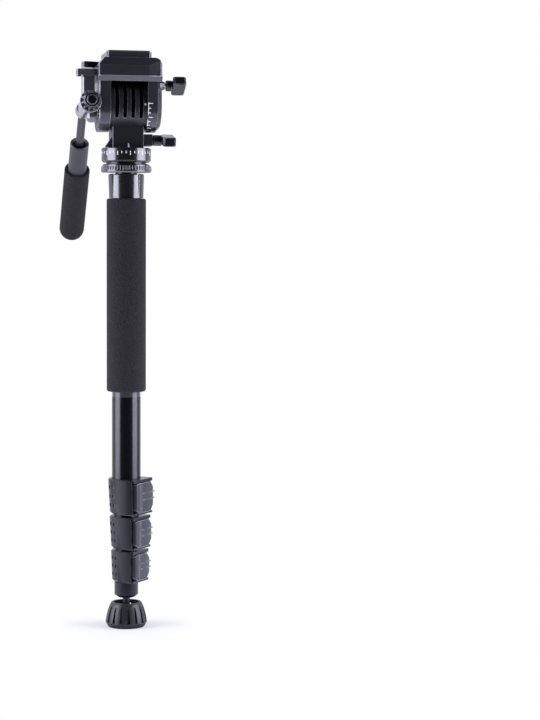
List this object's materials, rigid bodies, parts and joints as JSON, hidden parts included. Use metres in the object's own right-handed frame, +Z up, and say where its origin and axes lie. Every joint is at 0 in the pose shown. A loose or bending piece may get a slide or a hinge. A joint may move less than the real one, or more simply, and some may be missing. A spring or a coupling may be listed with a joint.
{
  "type": "camera monopod",
  "caption": "Telescopic camera monopod with flip-lever leg locks, foam grip, slotted rubber foot and a small pan and tilt head with folding handle and quick-release plate.",
  "frame": {"origin": "centre of the foot's sole, on the leg axis", "axes": "+Z up along the leg, -Y the lens side of the head, +X the side with the two paddle knobs"},
  "size_m": [0.1195, 0.2488, 0.6406],
  "materials": {
    "black_anodised": "gloss black anodised tube",
    "cast_black": "satin black painted casting",
    "lock_plastic": "dark grey glass-filled nylon",
    "knob_plastic": "smooth black moulded plastic",
    "handle_plastic": "grey moulded plastic",
    "foam": "closed-cell foam",
    "foot_rubber": "moulded black rubber",
    "steel": "turned steel",
    "bearing_plastic": "acetal bearing plastic"
  },
  "bodies": {
    "upper_tube": {"main_tube": "black_anodised", "foam_grip": "foam", "head_collar": "black_anodised", "top_plug": "lock_plastic", "head_stud": "steel", "platform_ring": "black_anodised", "ring_lever_pivot": "steel", "dial_base": "black_anodised", "lock_1_collar": "lock_plastic", "lock_1_clamp": "bearing_plastic", "lock_1_pin": "steel", "lock_1_bolt": "steel"},
    "lock_1_lever": {"lock_1_lever": "lock_plastic"},
    "leg_2": {"leg_2_tube": "black_anodised", "leg_2_guide": "bearing_plastic", "lock_2_collar": "lock_plastic", "lock_2_clamp": "bearing_plastic", "lock_2_pin": "steel", "lock_2_bolt": "steel"},
    "lock_2_lever": {"lock_2_lever": "lock_plastic"},
    "leg_3": {"leg_3_tube": "black_anodised", "leg_3_guide": "bearing_plastic", "lock_3_collar": "lock_plastic", "lock_3_clamp": "bearing_plastic", "lock_3_pin": "steel", "lock_3_bolt": "steel"},
    "lock_3_lever": {"lock_3_lever": "lock_plastic"},
    "leg_4": {"leg_4_tube": "black_anodised", "leg_4_guide": "bearing_plastic", "leg_ferrule": "lock_plastic", "foot_stud": "steel", "rubber_foot": "foot_rubber"},
    "ring_lever": {"ring_lever": "knob_plastic"},
    "pan_body": {"head_neck": "cast_black", "pan_spindle": "steel", "pan_washer": "bearing_plastic", "tilt_washers": "bearing_plastic"},
    "pan_knob": {"pan_knob": "knob_plastic", "pan_knob_screw": "steel"},
    "tilt_body": {"tilt_cradle": "cast_black", "tilt_axle": "steel", "axle_covers": "cast_black", "handle_bracket": "cast_black", "bracket_screws": "steel", "lever_pivot": "steel", "plate_jaw": "bearing_plastic"},
    "tilt_knob": {"tilt_knob": "knob_plastic", "tilt_knob_screw": "steel"},
    "plate_lever": {"plate_lever": "knob_plastic"},
    "plate": {"quick_plate": "black_anodised", "plate_pad": "foot_rubber", "video_pin_spring": "steel"},
    "screw_lift": {"screw_clip": "steel"},
    "camera_screw": {"camera_screw": "steel"},
    "video_pin": {"video_pin": "steel"},
    "handle": {"handle_rod": "steel", "handle_sleeve": "handle_plastic", "handle_grip": "foam"},
    "handle_knob": {"handle_knob": "knob_plastic", "handle_bolt": "steel"}
  },
  "joints": [
    {"name": "leg_2_slide", "type": "slide", "parent": "upper_tube", "child": "leg_2", "axis": [0, 0, -1], "range_m": [0, 0.3]},
    {"name": "leg_3_slide", "type": "slide", "parent": "leg_2", "child": "leg_3", "axis": [0, 0, -1], "range_m": [0, 0.335]},
    {"name": "leg_4_slide", "type": "slide", "parent": "leg_3", "child": "leg_4", "axis": [0, 0, -1], "range_m": [0, 0.37]},
    {"name": "lock_1_lever_hinge", "type": "hinge", "parent": "upper_tube", "child": "lock_1_lever", "pos_m": [0.00726, -0.02441, 0.1474], "axis": [0, 0, -1], "range_deg": [0, 110]},
    {"name": "lock_2_lever_hinge", "type": "hinge", "parent": "leg_2", "child": "lock_2_lever", "pos_m": [0.00657, -0.02256, 0.107], "axis": [0, 0, -1], "range_deg": [0, 110]},
    {"name": "lock_3_lever_hinge", "type": "hinge", "parent": "leg_3", "child": "lock_3_lever", "pos_m": [0.00606, -0.02048, 0.0692], "axis": [0, 0, -1], "range_deg": [0, 110]},
    {"name": "ring_lever_hinge", "type": "hinge", "parent": "upper_tube", "child": "ring_lever", "pos_m": [0.01122, 0.0211, 0.504], "axis": [0, 0, 1], "range_deg": [0, 60]},
    {"name": "pan", "type": "hinge", "parent": "upper_tube", "child": "pan_body", "pos_m": [0, 0, 0.533], "axis": [0, 0, 1], "continuous": true},
    {"name": "pan_knob_turn", "type": "hinge", "parent": "pan_body", "child": "pan_knob", "pos_m": [0.03, -0.007, 0.5415], "axis": [1, 0, 0], "range_deg": [-180, 180]},
    {"name": "tilt", "type": "hinge", "parent": "pan_body", "child": "tilt_body", "pos_m": [0, 0, 0.58], "axis": [1, 0, 0], "range_deg": [-60, 80]},
    {"name": "tilt_knob_turn", "type": "hinge", "parent": "tilt_body", "child": "tilt_knob", "pos_m": [0.04, -0.021, 0.6005], "axis": [1, 0, 0], "range_deg": [-180, 180]},
    {"name": "plate_lever_hinge", "type": "hinge", "parent": "tilt_body", "child": "plate_lever", "pos_m": [-0.0305, 0.02, 0.6246], "axis": [0, 0, -1], "range_deg": [0, 68]},
    {"name": "plate_slide", "type": "slide", "parent": "tilt_body", "child": "plate", "axis": [0, 1, 0], "range_m": [0, 0.07]},
    {"name": "camera_screw_lift", "type": "slide", "parent": "plate", "child": "screw_lift", "axis": [0, 0, 1], "range_m": [0, 0.005]},
    {"name": "camera_screw_turn", "type": "hinge", "parent": "screw_lift", "child": "camera_screw", "pos_m": [0, 0, 0.63], "axis": [0, 0, 1], "continuous": true},
    {"name": "video_pin_press", "type": "slide", "parent": "plate", "child": "video_pin", "axis": [0, 0, -1], "range_m": [0, 0.003], "stiffness_N_per_m": 300, "springref_m": -0.002, "deforming": ["video_pin_spring"]},
    {"name": "handle_swivel", "type": "hinge", "parent": "tilt_body", "child": "handle", "pos_m": [-0.0429, 0, 0.5788], "axis": [0, 0.9969, -0.0785], "range_deg": [-100, 100]},
    {"name": "handle_knob_turn", "type": "hinge", "parent": "tilt_body", "child": "handle_knob", "pos_m": [-0.0429, 0, 0.5788], "axis": [0, 0.9969, -0.0785], "range_deg": [-180, 180]}
  ]
}
